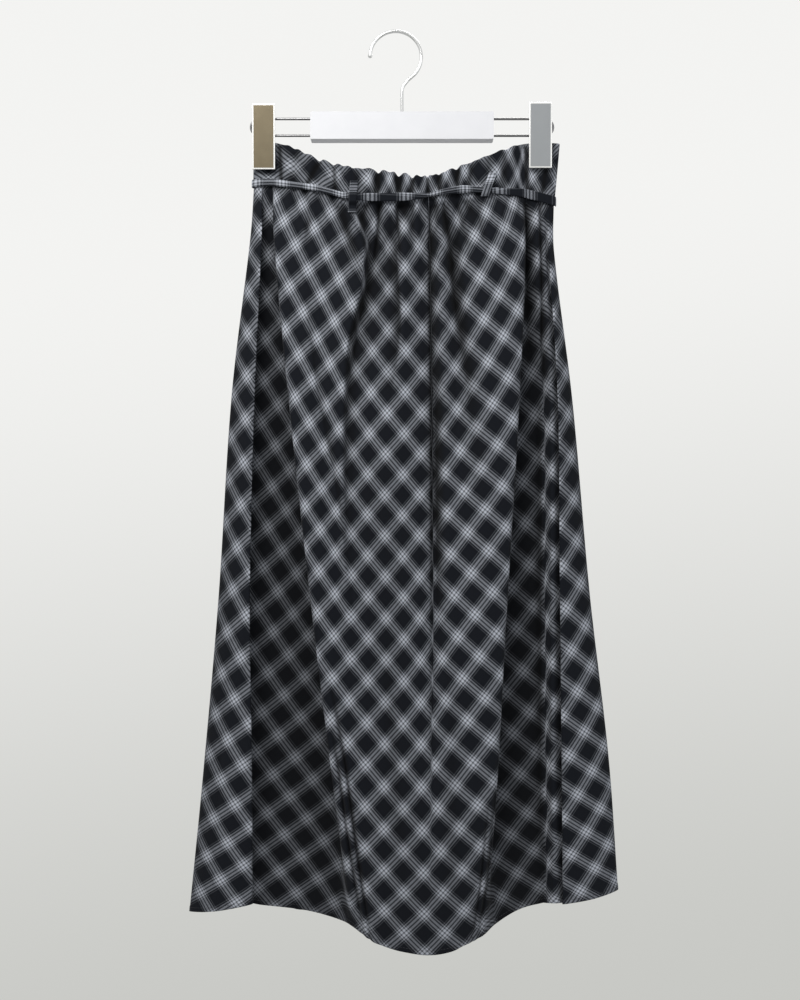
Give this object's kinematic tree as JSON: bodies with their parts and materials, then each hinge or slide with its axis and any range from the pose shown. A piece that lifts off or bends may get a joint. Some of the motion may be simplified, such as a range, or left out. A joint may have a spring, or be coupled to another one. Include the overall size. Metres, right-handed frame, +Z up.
{
  "type": "checked skirt on a clip hanger",
  "caption": "Midi skirt in checked cloth with a gathered elastic waist, belt loops and a narrow tie belt, held by the two clips of a hanger.",
  "frame": {"origin": "inside of the crown of the hanger's hook, where a rail or peg carries it", "axes": "+Z up, -Y out of the front of the skirt, +X to the right seen from the front"},
  "size_m": [0.4407, 0.0872, 0.9321],
  "materials": {
    "check_cloth": "woven check in near-black and light grey",
    "bar_white": "smooth white",
    "chrome_wire": "polished",
    "clip_metal": "polished sheet"
  },
  "bodies": {
    "root": {"front_panel": "check_cloth", "back_panel": "check_cloth", "waistband": "check_cloth", "belt": "check_cloth", "belt_loop_front_left": "check_cloth", "belt_loop_front_right": "check_cloth", "belt_loop_back_left": "check_cloth", "belt_loop_back_right": "check_cloth", "hanger_bar": "bar_white", "hanger_hook": "chrome_wire", "hanger_rods_left": "chrome_wire", "hanger_rods_right": "chrome_wire", "clip_left_body": "clip_metal", "clip_left_cover": "clip_metal", "clip_right_body": "clip_metal", "clip_right_cover": "clip_metal"}
  },
  "joints": []
}
